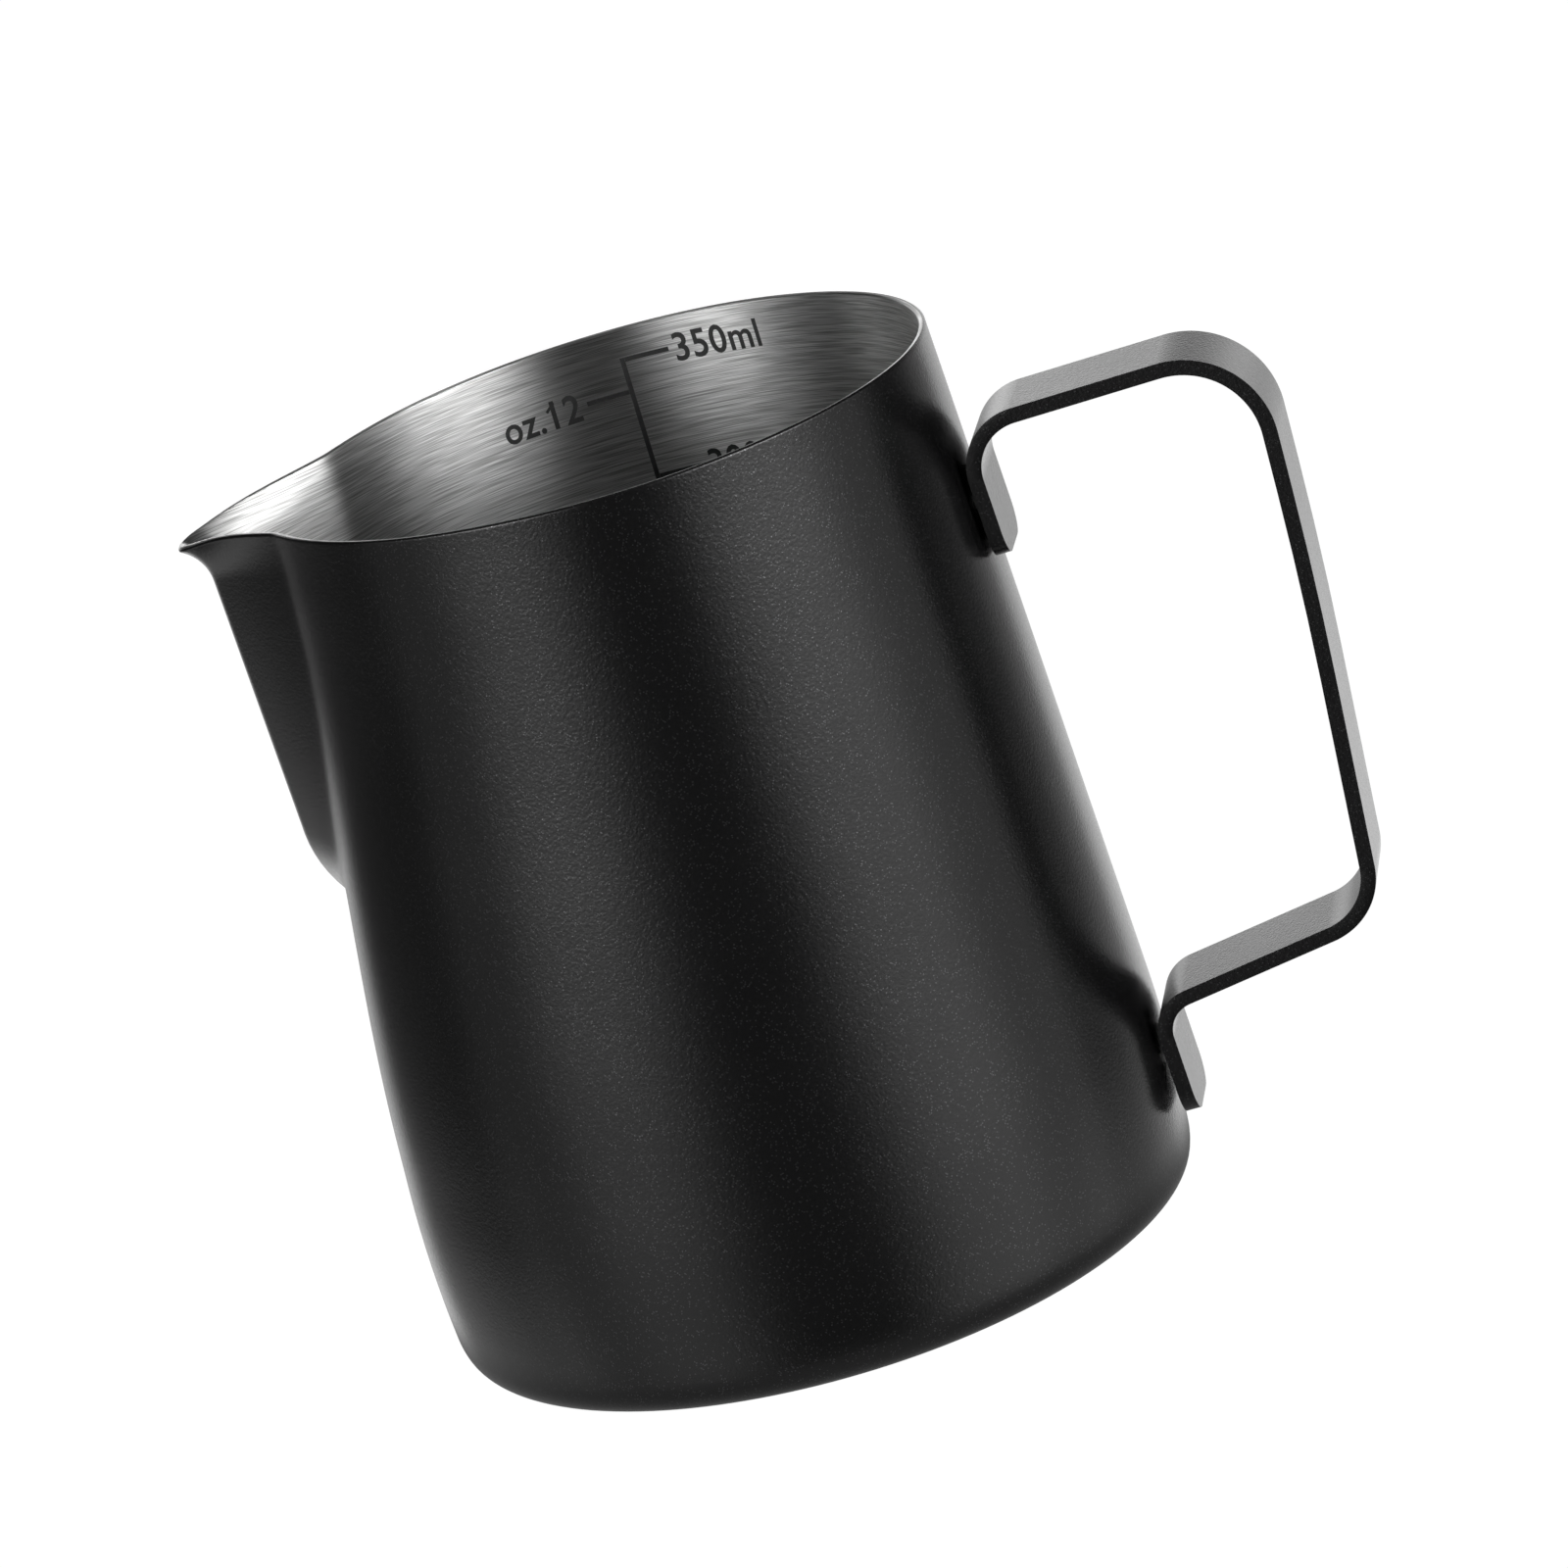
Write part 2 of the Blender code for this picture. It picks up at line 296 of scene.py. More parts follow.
def add_piece(name, mesh, finish, slot, *replaced):
    """A visible piece of the root body, with its finish, instead of the nodes it replaces."""
    piece = new_object(name, mesh)
    mesh.materials.clear()
    mesh.materials.append(finish)
    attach(piece, "root")
    if replaced:
        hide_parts(*replaced)
    return piece


def rim_cap(outer, inner, up, height, end=180.0 - RIM_STEP):
    """Rings of points from the outer edge up round a flat ellipse, as far as the angle end."""
    middle, half = 0.5 * (outer + inner), 0.5 * (outer - inner)
    turns = [RIM_STEP * step for step in range(1, round(end / RIM_STEP) + 1)]
    return [middle + half * cos(turn) + up * height * sin(turn) for turn in turns]


def make_vessel(steel, coating):
    """The steel vessel, and the coating as a film round its outside."""
    skin, normals = outer_skin()
    up = skin[:, 0] - skin[:, 1]
    up -= (up * normals[:, 0]).sum(axis=1, keepdims=True) * normals[:, 0]
    up /= np.linalg.norm(up, axis=1, keepdims=True)
    skin[:, 0] -= RIM_ROUND * up

    def rings(depth):
        return list(np.swapaxes(skin - depth * normals, 0, 1))

    def pole(depth):
        return np.array((0.0, 0.0, depth))

    outer, inner = rings(COATING_SINK), rings(WALL_THICKNESS)
    loops = outer[::-1] + rim_cap(outer[0], inner[0], up, RIM_ROUND - COATING_SINK) + inner
    mesh = closed_mesh("vessel_steel", np.array(loops),
                       np.array((pole(COATING_SINK), pole(WALL_THICKNESS))))
    add_piece("vessel_steel", mesh, steel, "bare_steel", "vessel_shell")

    face, back = rings(0.0), rings(COATING)
    over = rim_cap(face[0], inner[0], up, RIM_ROUND, COATED_RIM)
    under = rim_cap(back[0], inner[0], up, RIM_ROUND - COATING, COATED_RIM)
    mesh = closed_mesh("vessel_coating", np.array(face[::-1] + over + under[::-1] + back),
                       np.array((pole(0.0), pole(COATING))))
    add_piece("vessel_coating", mesh, coating, "black_coating", "vessel_shell")


def tab_line(height):
    """How far out the strap's middle line runs at this height of a tab."""
    return cone_radius(height) + (WELD_GAP + 0.5 * STRAP_THICKNESS) / cos(TAPER)


def strap_path():
    """The strip's middle line in the XZ plane, from the upper tab's end to the lower tab's end."""
    corners = [
        ((tab_line(UPPER_TAB_END), UPPER_TAB_END), 0.0),
        ((tab_line(UPPER_BEND_HEIGHT), UPPER_BEND_HEIGHT), UPPER_BEND_RADIUS),
        (GRIP_TOP, GRIP_TOP_RADIUS),
        (GRIP_MIDDLE, GRIP_MIDDLE_RADIUS),
        (GRIP_BOTTOM, GRIP_BOTTOM_RADIUS),
        ((tab_line(LOWER_BEND_HEIGHT), LOWER_BEND_HEIGHT), LOWER_BEND_RADIUS),
        ((tab_line(LOWER_TAB_END), LOWER_TAB_END), 0.0),
    ]
    path = [Vector(corners[0][0])]
    for (before, _), (corner, radius), (after, _) in zip(corners, corners[1:], corners[2:]):
        corner = Vector(corner)
        towards = (corner - Vector(before)).normalized()
        away = (Vector(after) - corner).normalized()
        turn = towards.angle_signed(away)
        side = Vector((-towards.y, towards.x)) * (-1.0 if turn > 0.0 else 1.0)
        start = corner - towards * radius * math.tan(abs(turn) / 2.0)
        steps = max(BEND_FEWEST_STEPS, math.ceil(math.degrees(abs(turn)) / BEND_STEP))
        for step in range(steps + 1):
            part = abs(turn) * step / steps
            path.append(start + towards * radius * math.sin(part)
                        + side * radius * (1.0 - math.cos(part)))
    path.append(Vector(corners[-1][0]))
    return path


def tab_end(end, inside):
    """Rows of a tab's rounded corners, (point, half width), from its end inwards."""
    along = (inside - end).normalized()
    rows = []
    for step in range(TAB_END_STEPS + 1):
        turned = 90.0 * step / TAB_END_STEPS
        point = end + along * TAB_ROUNDING * (1.0 - cos(turned))
        rows.append((point, STRAP_WIDTH / 2.0 - TAB_ROUNDING * (1.0 - sin(turned))))
    return rows


def make_strap(coating):
    """The handle: a ribbon along the strap's middle line, made thick and bevelled."""
    path = strap_path()
    rows = tab_end(path[0], path[1])
    rows += [(point, STRAP_WIDTH / 2.0) for point in path[1:-1]]
    rows += reversed(tab_end(path[-1], path[-2]))
    build = bmesh.new()
    near = [build.verts.new((point.x * MM, -half * MM, point.y * MM)) for point, half in rows]
    far = [build.verts.new((point.x * MM, half * MM, point.y * MM)) for point, half in rows]
    for row in range(len(rows) - 1):
        build.faces.new((near[row], near[row + 1], far[row + 1], far[row]))
    mesh = mesh_from(build, "handle_coated")
    mesh.shade_smooth()
    piece = add_piece("handle_coated", mesh, coating, "black_coating", "handle_strap")
    thick = piece.modifiers.new("Thickness", "SOLIDIFY")
    thick.thickness, thick.offset, thick.use_even_offset = STRAP_THICKNESS * MM, 0.0, True
    rolled = piece.modifiers.new("Rolled edges", "BEVEL")
    rolled.width, rolled.segments = STRAP_EDGE * MM, STRAP_EDGE_STEPS
    rolled.limit_method, rolled.angle_limit = "ANGLE", math.radians(STRAP_EDGE_ANGLE)
    smooth = piece.modifiers.new("Even shading", "WEIGHTED_NORMAL")
    smooth.keep_sharp = True


def on_inner_wall(bearing, height, lift):
    """The point at this bearing and height, lifted off the inner wall towards the axis."""
    angle = abs((180.0 - bearing + 180.0) % 360.0 - 180.0)
    radius = vessel_radius(angle, height, cone_radius(height))
    radius -= WALL_THICKNESS / cos(TAPER) + lift
    return Vector((radius * cos(bearing), radius * sin(bearing), height)) * MM


def cut_across(build, point, direction):
    """Adds edges where the plane through a point, square to a direction, crosses the mesh."""
    bmesh.ops.bisect_plane(build, geom=build.verts[:] + build.edges[:] + build.faces[:],
                           plane_co=point, plane_no=direction)


def wrap_marks(build, bearing):
    """Cuts flat marks into narrow strips, and lays them on the inner wall.

    Their x, in millimetres, runs to the right as seen from inside, y is the height, and z is the
    lift off the wall.
    """
    low = min(vertex.co.x for vertex in build.verts)
    high = max(vertex.co.x for vertex in build.verts)
    for cut in range(1, math.ceil((high - low) / MARK_CUT)):
        cut_across(build, (low + cut * MARK_CUT, 0.0, 0.0), (1.0, 0.0, 0.0))
    for vertex in build.verts:
        x, height, lift = vertex.co
        around = math.degrees(x / (cone_radius(height) - WALL_THICKNESS))
        vertex.co = on_inner_wall(bearing - around, height, lift)


def add_mark(marks, build, bearing):
    """Lays one flat mark on the inner wall and adds it to the others."""
    wrap_marks(build, bearing)
    bmesh.ops.recalc_face_normals(build, faces=build.faces)
    mesh = mesh_from(build, "mark")
    marks.from_mesh(mesh)
    bpy.data.meshes.remove(mesh)


def add_line(marks, bearing, left, right, bottom, top):
    """A printed bar, its ends and sides in millimetres from this bearing and from the base."""
    build = bmesh.new()
    bmesh.ops.create_cube(build, size=1.0)
    depth = MARK_FILM + MARK_SINK
    for vertex in build.verts:
        vertex.co = Vector((left + (vertex.co.x + 0.5) * (right - left),
                            bottom + (vertex.co.y + 0.5) * (top - bottom),
                            -MARK_SINK + (vertex.co.z + 0.5) * depth))
    rows = max(BAR_FEWEST_ROWS, math.ceil((top - bottom) / BAR_CUT))
    for cut in range(1, rows):
        cut_across(build, (0.0, bottom + (top - bottom) * cut / rows, 0.0), (0.0, 1.0, 0.0))
    add_mark(marks, build, bearing)


def add_flag(build):
    """Adds the short slanting stroke at the head of a figure 1, which the font draws as a bar."""
    left_over = set(build.verts)
    while left_over:
        glyph, edge = set(), {left_over.pop()}
        while edge:
            glyph |= edge
            edge = {link.other_vert(vertex) for vertex in edge
                    for link in vertex.link_edges} - glyph
        left_over -= glyph
        xs, ys = [v.co.x for v in glyph], [v.co.y for v in glyph]
        if max(ys) - min(ys) < ONE_SHAPE * (max(xs) - min(xs)):
            continue
        stroke = bmesh.ops.create_cube(build, size=1.0)["verts"]
        head = Vector((max(xs), max(ys) - 0.5 * FLAG_WEIGHT / cos(FLAG_SLOPE), 0.0))
        for vertex in stroke:
            along = (vertex.co.x - 0.5) * (FLAG_LENGTH + max(xs) - min(xs))
            aside = vertex.co.y * FLAG_WEIGHT
            vertex.co.x = head.x + along * cos(FLAG_SLOPE) - aside * sin(FLAG_SLOPE)
            vertex.co.y = head.y + along * sin(FLAG_SLOPE) + aside * cos(FLAG_SLOPE)


def add_text(marks, words, bearing, bottom, align):
    """Words whose left or right end is at this bearing, standing on this height."""
    font = bpy.data.curves.new("words", "FONT")
    font.body = words
    font.align_x = align
    font.size = 1.0
    font.extrude = FONT_HALF_DEPTH
    font.offset = FONT_BOLD
    font.resolution_u = FONT_CURVE_STEPS
    font.space_character = FONT_SPACING
    letters = new_object("words", font)
    bpy.context.view_layer.update()
    mesh = bpy.data.meshes.new_from_object(
        letters.evaluated_get(bpy.context.evaluated_depsgraph_get()))
    bpy.data.objects.remove(letters)
    bpy.data.curves.remove(font)
    build = bmesh.new()
    build.from_mesh(mesh)
    bpy.data.meshes.remove(mesh)
    bmesh.ops.remove_doubles(build, verts=build.verts, dist=FONT_MERGE)
    if "1" in words:
        add_flag(build)
    size = TEXT_HEIGHT / FONT_CAP_HEIGHT
    depth = MARK_FILM + MARK_SINK
    for vertex in build.verts:
        x, y, z = vertex.co
        vertex.co = Vector((x * size * TEXT_STRETCH, bottom + y * size,
                            -MARK_SINK + (z + FONT_HALF_DEPTH) * depth))
    add_mark(marks, build, bearing)


def make_marks(ink):
    """The graduations: an upright spine with millilitres to its right and ounces to its left."""
    marks = bmesh.new()
    radius = cone_radius(0.5 * (SPINE_TOP + SPINE_BOTTOM)) - WALL_THICKNESS

    def across(bearing):
        return math.radians(SPINE_BEARING - bearing) * radius

    half = 0.5 * LINE_WIDTH
    add_line(marks, SPINE_BEARING, -half, half, SPINE_BOTTOM, SPINE_TOP + half)
    for volume, height in ML_LINES.items():
        add_line(marks, SPINE_BEARING, half + LINE_GAP, across(ML_LINE_END),
                 height - half, height + half)
        words = f"{volume}ml" if volume == max(ML_LINES) else str(volume)
        add_text(marks, words, ML_TEXT_START, height - 0.5 * TEXT_HEIGHT, "LEFT")
    for volume, height in OZ_LINES.items():
        add_line(marks, SPINE_BEARING, across(OZ_LINE_END), -half - LINE_GAP,
                 height - half, height + half)
        words = f"oz.{volume}" if volume == max(OZ_LINES) else str(volume)
        add_text(marks, words, OZ_TEXT_END, height - 0.5 * TEXT_HEIGHT, "RIGHT")
    add_piece("graduations", mesh_from(marks, "graduations"), ink, "black_coating")


class Nodes:
    """A short way to write a node tree."""

    def __init__(self, tree):
        self.tree = tree

    def fill(self, node, values):
        """Links a node's inputs to the sockets given for them, and writes plain values there."""
        for socket, value in values.items():
            if isinstance(value, bpy.types.NodeSocket):
                self.tree.links.new(value, node.inputs[socket])
            else:
                node.inputs[socket].default_value = value
        return node

    def add(self, kind, values=None, **settings):
        node = self.tree.nodes.new(kind)
        for name, value in settings.items():
            setattr(node, name, value)
        return self.fill(node, values or {})

    def maths(self, operation, *values):
        node = self.add("ShaderNodeMath", dict(enumerate(values)), operation=operation)
        return node.outputs[0]

    def distance(self, x, y):
        """The length of the level vector (x, y)."""
        return self.maths("SQRT", self.maths("ADD", self.maths("MULTIPLY", x, x),
                                             self.maths("MULTIPLY", y, y)))

    def remap(self, value, low, high, to_low, to_high, smooth=False):
        node = self.add("ShaderNodeMapRange", {"Value": value, "From Min": low, "From Max": high,
                                               "To Min": to_low, "To Max": to_high})
        node.interpolation_type = "SMOOTHSTEP" if smooth else "LINEAR"
        return node.outputs["Result"]

    def blend(self, factor, first, second):
        """A colour between two. Sockets 6 and 7 of a mix node are its colours."""
        node = self.add("ShaderNodeMix", {0: factor, 6: first, 7: second}, data_type="RGBA")
        return node.outputs[2]

    def noise(self, vector, scale, detail):
        node = self.add("ShaderNodeTexNoise", {"Vector": vector, "Scale": scale, "Detail": detail})
        return node.outputs[0]


def grey(value):
    return (value, value, value, 1.0)


def new_material(name):
    made = bpy.data.materials.new(name)
    made.use_nodes = True
    return made, Nodes(made.node_tree), made.node_tree.nodes["Principled BSDF"]


# Noise is per metre, bumps are in metres and colours are linear. Most of a noise lies between
# these two values.
NOISE_RANGE = (0.3, 0.7)

# The coating is turned, so that no flat face lies along the noise's own grid, which would show
# as bands.
COATING_TURN = (0.5, 0.7, 0.3)
COATING_COLOURS = (0.0030, 0.0030, 0.0031, 1.0), (0.0042, 0.0042, 0.0043, 1.0)
COATING_ROUGHNESS = (0.215, 0.235)
CLOUD_SCALE, CLOUD_DETAIL = 90.0, 3.0
FLAKE_SCALE, FLAKE_THRESHOLD, FLAKE_EDGE = 4400.0, 0.70, (0.22, 0.34)
FLAKE_COLOUR = (0.115, 0.115, 0.118, 1.0)
GRAIN_SCALE, GRAIN_DETAIL, GRAIN_ROUGHNESS = 3300.0, 1.5, 0.02
GRAIN_BUMP = {"Strength": 1.0, "Distance": 0.000021}
PEEL_SCALE, PEEL_DETAIL = 1500.0, 2.0
PEEL_BUMP = {"Strength": 0.3, "Distance": 0.000008}


def coating_material():
    """Satin black baked coating: a fine grain, and small flakes that shine more than the rest."""
    made, nodes, shader = new_material("black_coating")
    square = nodes.add("ShaderNodeTexCoord").outputs["Object"]
    turned = nodes.add("ShaderNodeMapping", {"Vector": square, "Rotation": COATING_TURN})
    place = turned.outputs[0]
    flakes = nodes.add("ShaderNodeTexVoronoi", {"Vector": place, "Scale": FLAKE_SCALE})
    shade = nodes.add("ShaderNodeSeparateColor", {0: flakes.outputs["Color"]})
    chosen = nodes.maths("GREATER_THAN", shade.outputs[0], FLAKE_THRESHOLD)
    spot = nodes.remap(flakes.outputs["Distance"], *FLAKE_EDGE, 1.0, 0.0)
    flake = nodes.maths("MULTIPLY", chosen, spot)
    cloud = nodes.noise(place, CLOUD_SCALE, CLOUD_DETAIL)
    base = nodes.blend(cloud, *COATING_COLOURS)
    grain = nodes.noise(place, GRAIN_SCALE, GRAIN_DETAIL)
    rough = nodes.maths("ADD", nodes.remap(cloud, *NOISE_RANGE, *COATING_ROUGHNESS),
                        nodes.remap(grain, *NOISE_RANGE, -GRAIN_ROUGHNESS, GRAIN_ROUGHNESS))
    skin = nodes.noise(place, PEEL_SCALE, PEEL_DETAIL)
    peel = nodes.add("ShaderNodeBump", {"Height": skin, **PEEL_BUMP})
    fine = nodes.add("ShaderNodeBump", {"Height": grain, "Normal": peel.outputs[0], **GRAIN_BUMP})
    nodes.fill(shader, {"Base Color": nodes.blend(flake, base, FLAKE_COLOUR), "Roughness": rough,
                        "Metallic": flake, "Normal": fine.outputs[0]})
    return made


# The steel's streaks, each kind by its length, width and detail, then by its share of the whole.
FINE_STREAKS, BROAD_STREAKS = (0.0045, 0.00007, 1.0), (0.010, 0.00022, 2.0)
FINE_SHARE, BROAD_SHARE = 0.65, 0.35
# The streaks' values that take the two colours, and those that take the two roughnesses.
STREAK_TONES, STREAK_ROUGHNESSES = (0.38, 0.62), (0.35, 0.65)
STEEL_COLOURS = (0.38, 0.38, 0.375, 1.0), (0.88, 0.88, 0.875, 1.0)
STEEL_ROUGHNESS = (0.41, 0.38)
WEAR_SCALE, WEAR_DETAIL, WEAR_ROUGHNESS = 60.0, 2.0, 0.02
STEEL_BUMP = {"Strength": 0.4, "Distance": 0.00001}
STEEL_SHINE = {"Metallic": 1.0, "Anisotropic": 0.90, "Anisotropic Rotation": 0.25}
# Between these heights the streaks change from rings on the base to rings up the wall.
BASE_TO_WALL = (0.002, 0.006)


def steel_material():
    """Stainless steel brushed round the axis: fine streaks of uneven length."""
    made, nodes, shader = new_material("brushed_steel")
    place = nodes.add("ShaderNodeTexCoord").outputs["Object"]
    x, y, z = nodes.add("ShaderNodeSeparateXYZ", {0: place}).outputs
    on_base = nodes.remap(z, *BASE_TO_WALL, 1.0, 0.0, smooth=True)
    across = nodes.maths("MULTIPLY_ADD", on_base, nodes.distance(x, y), z)

    def streaks(length, width, detail):
        """Noise drawn out round the axis: streaks of about this length and width."""
        vector = nodes.add("ShaderNodeCombineXYZ", {
            0: nodes.maths("DIVIDE", x, length), 1: nodes.maths("DIVIDE", y, length),
            2: nodes.maths("DIVIDE", across, width)})
        return nodes.noise(vector.outputs[0], 1.0, detail)

    worn = nodes.noise(place, WEAR_SCALE, WEAR_DETAIL)
    mixed = nodes.maths("ADD", nodes.maths("MULTIPLY", streaks(*FINE_STREAKS), FINE_SHARE),
                        nodes.maths("MULTIPLY", streaks(*BROAD_STREAKS), BROAD_SHARE))
    tone = nodes.remap(mixed, *STREAK_TONES, 0.0, 1.0)
    rough = nodes.maths("ADD", nodes.remap(mixed, *STREAK_ROUGHNESSES, *STEEL_ROUGHNESS),
                        nodes.remap(worn, *NOISE_RANGE, -WEAR_ROUGHNESS, WEAR_ROUGHNESS))
    tangent = nodes.add("ShaderNodeTangent", direction_type="RADIAL", axis="Z")
    bump = nodes.add("ShaderNodeBump", {"Height": mixed, **STEEL_BUMP})
    nodes.fill(shader, {"Base Color": nodes.blend(tone, *STEEL_COLOURS), "Roughness": rough,
                        "Tangent": tangent.outputs[0], "Normal": bump.outputs[0], **STEEL_SHINE})
    return made


INK_SCALE, INK_DETAIL = 2500.0, 3.0
INK_TONES, INK_ROUGHNESS = (0.016, 0.045), (0.5, 0.62)


def ink_material():
    """Dark, slightly patchy laser marking."""
    made, nodes, shader = new_material("graduation_ink")
    place = nodes.add("ShaderNodeTexCoord").outputs["Object"]
    patch = nodes.noise(place, INK_SCALE, INK_DETAIL)
    nodes.fill(shader, {"Base Color": nodes.blend(patch, *map(grey, INK_TONES)),
                        "Roughness": nodes.remap(patch, *NOISE_RANGE, *INK_ROUGHNESS)})
    return made


# Studio: upright panels of light round the object, each (bearing from the camera's side to the
# right, half width, soft edge), in degrees, then its strength below, just above and high above.
PANELS = (
    (49.3, 1.0, 34.7, 0.90, 10.2, 0.3),
    (77.8, 16.0, 9.0, 0.40, 0.7, 0.0),
    (-45.7, 1.2, 32.3, 0.53, 7.2, 0.0),
    (-75.7, 12.8, 14.3, 0.16, 0.7, 0.0),
    (164.9, 13.3, 10.9, 0.87, 1.3, 0.0),
    (-168.0, 4.0, 16.0, 0.0, 1.28, 0.0),
    (140.0, 6.8, 10.3, 0.24, 0.3, 0.0),
    (-162.0, 5.0, 12.0, 0.64, 0.1, 0.1),
)
# Painted shade: a sheet that only reflections show is dark close round the base, as far as these
# two radii (mm), and glows dimly. It stands in for the table in the object's shadow.
NEAR_SHADE, NEAR_LIGHT = (39.0, 47.5), 0.26
# The directions below are heights on the unit sphere.
HORIZON, PANEL_TOP = (-0.1, 0.1), (0.19, 0.37)
ROOM_BELOW, ROOM_ABOVE = 0.055, 0.03
TABLE_LIGHT, TABLE_FAR, TABLE_NEAR = 0.44, (-0.2, -0.4), (-0.46, -0.72)
TABLE_BEARING = (60.0, 100.0)
CEILING_LIGHT, CEILING = 0.1, (0.6, 0.9)
BACKDROP = 1.02
# Keeps a bearing defined straight up and straight down.
LEAST_LEVEL = 0.0001
# The floor reaches this far (m), and both sheets lie a little below the base (m).
FLOOR_REACH, FLOOR_SINK, SHADE_SINK = 4.0, 0.00002, 0.00001
FLOOR_GLOW, FLOOR_TONE = 1.0, 0.05
SHADE_CORNERS = 96


def empty_tree(owner):
    """The node tree of a world or material, with nothing in it."""
    owner.use_nodes = True
    owner.node_tree.nodes.clear()
    return Nodes(owner.node_tree)


def make_world():
    """The studio as a world: white to the camera, and soft lights to everything else."""
    world = bpy.data.worlds.new("studio")
    bpy.context.scene.world = world
    nodes = empty_tree(world)
    way = nodes.add("ShaderNodeTexCoord").outputs["Generated"]
    x, y, z = nodes.add("ShaderNodeSeparateXYZ", {0: way}).outputs
    level = nodes.maths("MAXIMUM", nodes.distance(x, y), LEAST_LEVEL)

    def angle_from(bearing):
        """The angle between the direction and this bearing, both taken level."""
        aim = CAMERA_BEARING + bearing
        towards = nodes.maths("ADD", nodes.maths("MULTIPLY", x, sin(aim)),
                              nodes.maths("MULTIPLY", y, -cos(aim)))
        return nodes.maths("ARCCOSINE", nodes.maths("DIVIDE", towards, level))

    above = nodes.remap(z, *HORIZON, 0.0, 1.0, smooth=True)
    high = nodes.remap(z, *PANEL_TOP, 0.0, 1.0, smooth=True)

    def by_height(below, middle, top):
        """A value that goes from below over middle to top as the direction rises."""
        rising = nodes.maths("MULTIPLY_ADD", above, middle - below, below)
        return nodes.maths("MULTIPLY_ADD", high, top - middle, rising)

    total = by_height(ROOM_BELOW, ROOM_ABOVE, ROOM_ABOVE)
    for bearing, half, soft, *strengths in PANELS:
        inside = nodes.remap(angle_from(bearing), math.radians(half), math.radians(half + soft),
                             1.0, 0.0, smooth=True)
        total = nodes.maths("MULTIPLY_ADD", inside, by_height(*strengths), total)
    table = nodes.maths("MULTIPLY", nodes.remap(z, *TABLE_FAR, 0.0, TABLE_LIGHT, smooth=True),
                        nodes.remap(z, *TABLE_NEAR, 1.0, 0.0, smooth=True))
    beside = nodes.remap(angle_from(0.0), *map(math.radians, TABLE_BEARING), 0.0, 1.0, smooth=True)
    total = nodes.maths("MULTIPLY_ADD", table, beside, total)
    total = nodes.maths("ADD", total, nodes.remap(z, *CEILING, 0.0, CEILING_LIGHT, smooth=True))
    seen = nodes.add("ShaderNodeLightPath").outputs["Is Camera Ray"]
    mixed = nodes.add("ShaderNodeMix", {0: seen, 2: total, 3: BACKDROP}, data_type="FLOAT")
    light = nodes.add("ShaderNodeBackground", {"Color": grey(1.0), "Strength": mixed.outputs[0]})
    nodes.add("ShaderNodeOutputWorld", {"Surface": light.outputs[0]})


def lay_sheet(name, build, sink, finish, unseen_by):
    """Lays a flat mesh this far below the base, hidden from some kinds of ray."""
    sheet = new_object(name, mesh_from(build, name))
    sheet.location.z = -sink
    sheet.data.materials.append(finish)
    for ray in unseen_by:
        setattr(sheet, f"visible_{ray}", False)
    return sheet


def make_floor():
    """A wide pale floor that takes a faint shadow."""
    pale = bpy.data.materials.new("pale_floor")
    nodes = empty_tree(pale)
    glow = nodes.add("ShaderNodeEmission", {"Color": grey(1.0), "Strength": FLOOR_GLOW})
    matt = nodes.add("ShaderNodeBsdfDiffuse", {"Color": grey(FLOOR_TONE)})
    both = nodes.add("ShaderNodeAddShader", {0: glow.outputs[0], 1: matt.outputs[0]})
    nodes.add("ShaderNodeOutputMaterial", {"Surface": both.outputs[0]})
    build = bmesh.new()
    bmesh.ops.create_grid(build, x_segments=2, y_segments=2, size=FLOOR_REACH)
    floor = lay_sheet("floor", build, FLOOR_SINK, pale,
                      ("diffuse", "glossy", "transmission", "shadow"))


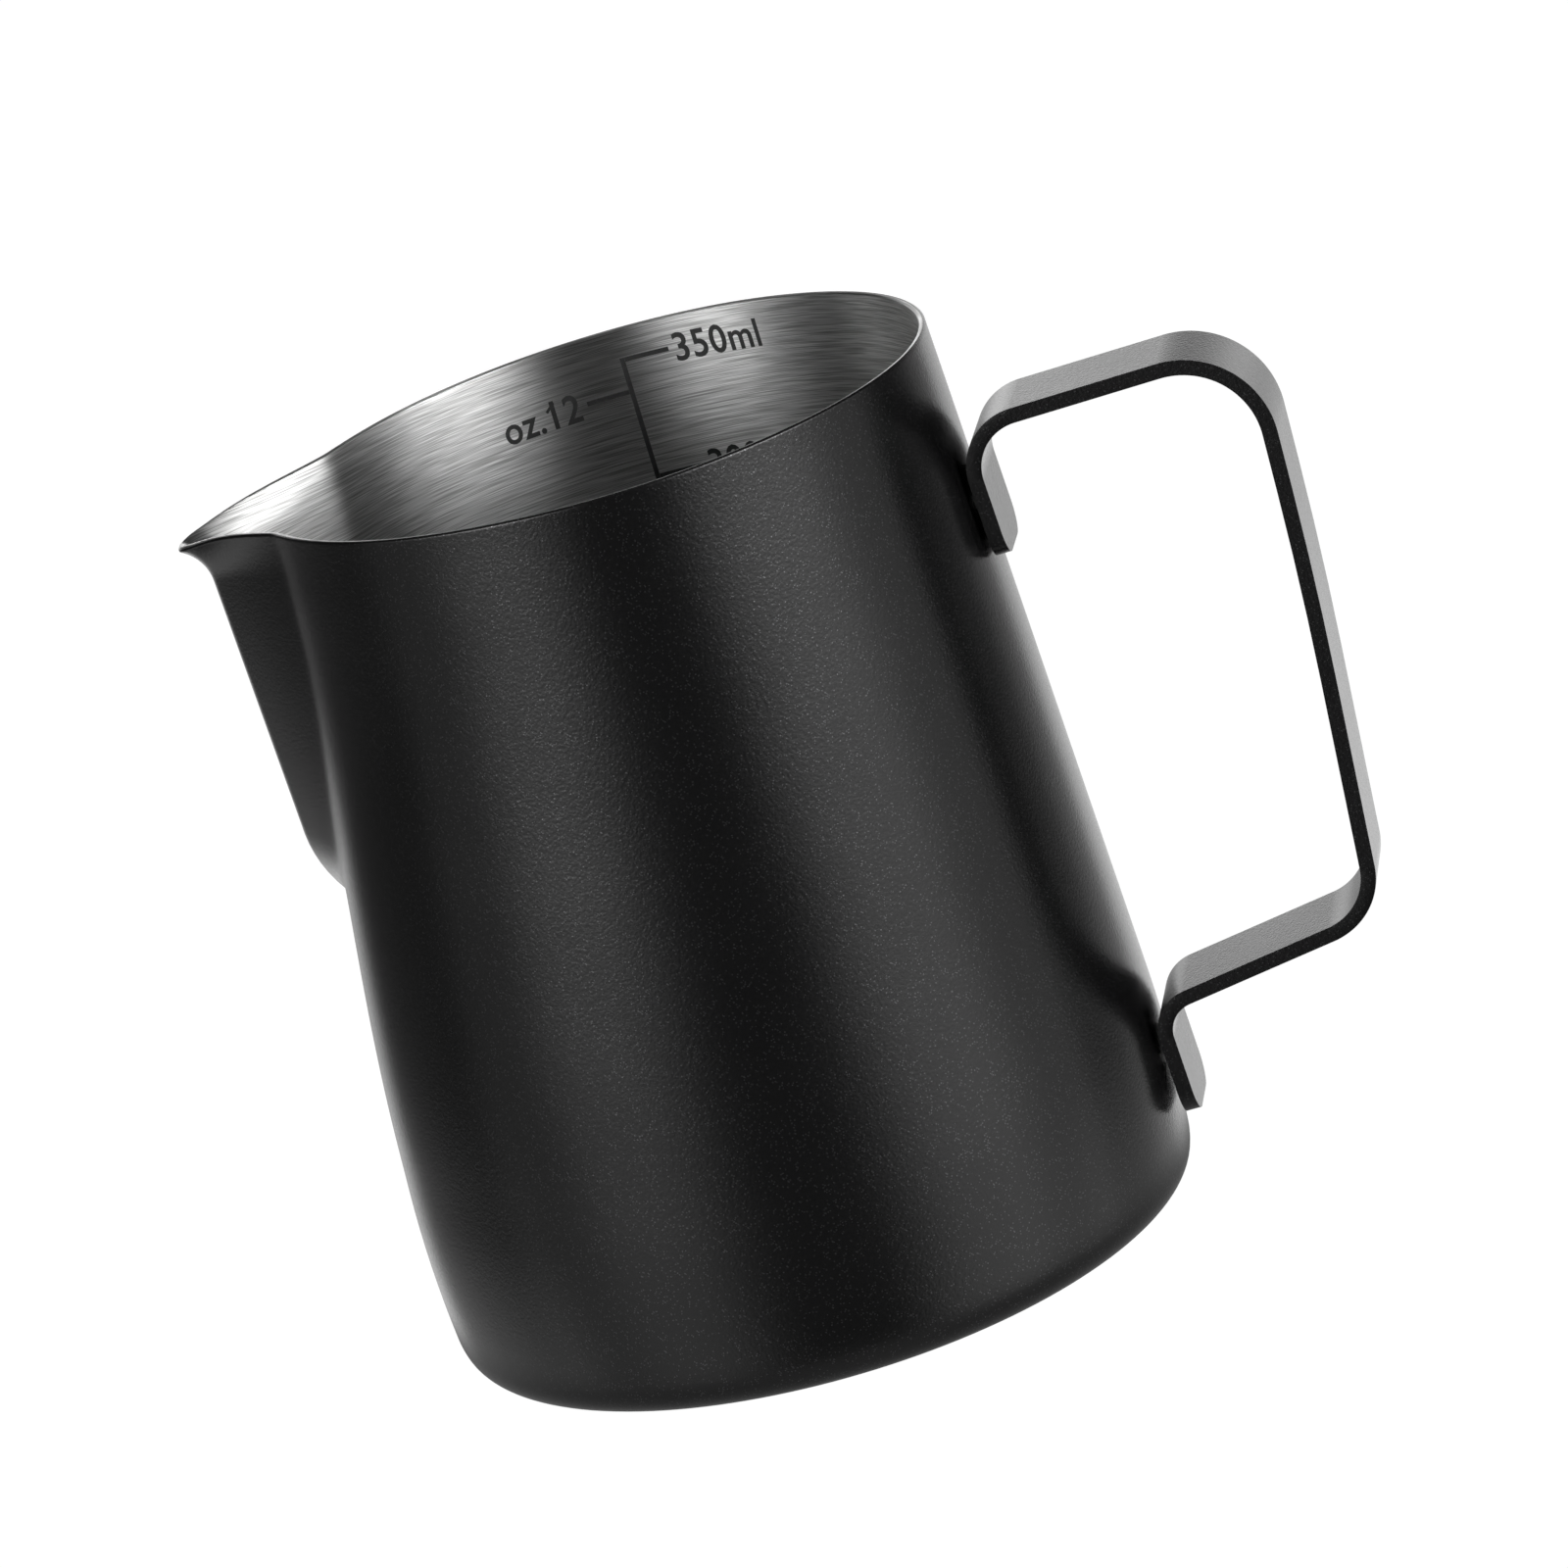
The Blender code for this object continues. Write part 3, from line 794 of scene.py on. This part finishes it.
def make_near_shade():
    """Painted shade: a dimly glowing sheet, dark close round the base, that stands in for the
    table in the object's shadow. Only reflections show it.
    """
    dark = bpy.data.materials.new("near_shade")
    nodes = empty_tree(dark)
    place = nodes.add("ShaderNodeTexCoord").outputs["Object"]
    radius = nodes.add("ShaderNodeVectorMath", {0: place}, operation="LENGTH").outputs["Value"]
    cover = nodes.remap(radius, *(edge * MM for edge in NEAR_SHADE), 1.0, 0.0, smooth=True)
    clear = nodes.add("ShaderNodeBsdfTransparent")
    glow = nodes.add("ShaderNodeEmission", {"Color": grey(1.0), "Strength": NEAR_LIGHT})
    both = nodes.add("ShaderNodeMixShader", {0: cover, 1: clear.outputs[0], 2: glow.outputs[0]})
    nodes.add("ShaderNodeOutputMaterial", {"Surface": both.outputs[0]})
    build = bmesh.new()
    bmesh.ops.create_circle(build, cap_ends=True, segments=SHADE_CORNERS,
                            radius=NEAR_SHADE[1] * MM)
    shade = lay_sheet("near_shade", build, SHADE_SINK, dark,
                      ("camera", "diffuse", "transmission", "shadow"))


def camera_axes():
    """The camera's right, up and back, after its roll."""
    back = Vector((sin(CAMERA_BEARING) * cos(CAMERA_RISE), -cos(CAMERA_BEARING) * cos(CAMERA_RISE),
                   sin(CAMERA_RISE)))
    right = Vector((cos(CAMERA_BEARING), sin(CAMERA_BEARING), 0.0))
    up = back.cross(right)
    turned = right * cos(CAMERA_ROLL) + up * sin(CAMERA_ROLL)
    return turned, up * cos(CAMERA_ROLL) - right * sin(CAMERA_ROLL), back


def make_camera():
    right, up, back = camera_axes()
    target = Vector((0.0, 0.0, 0.5 * HEIGHT))
    place = target - right * CAMERA_OFFSET[0] + up * CAMERA_OFFSET[1] + back * CAMERA_DISTANCE
    camera = new_object("camera", bpy.data.cameras.new("camera"))
    turn = Matrix((right, up, back)).transposed()
    camera.matrix_world = Matrix.Translation(place * MM) @ turn.to_4x4()
    camera.data.sensor_width, camera.data.lens = CAMERA_SENSOR, CAMERA_LENS
    camera.data.clip_start, camera.data.clip_end = CAMERA_NEAR, CAMERA_FAR
    bpy.context.scene.camera = camera


def main():
    bpy.context.scene.view_settings.view_transform = "Standard"
    coating, steel = coating_material(), steel_material()
    make_vessel(steel, coating)
    make_strap(coating)
    make_marks(ink_material())
    for name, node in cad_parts.items():
        if "weld" in name:
            node.data.materials.clear()
            node.data.materials.append(coating)
    make_world()
    make_floor()
    make_near_shade()
    make_camera()


main()
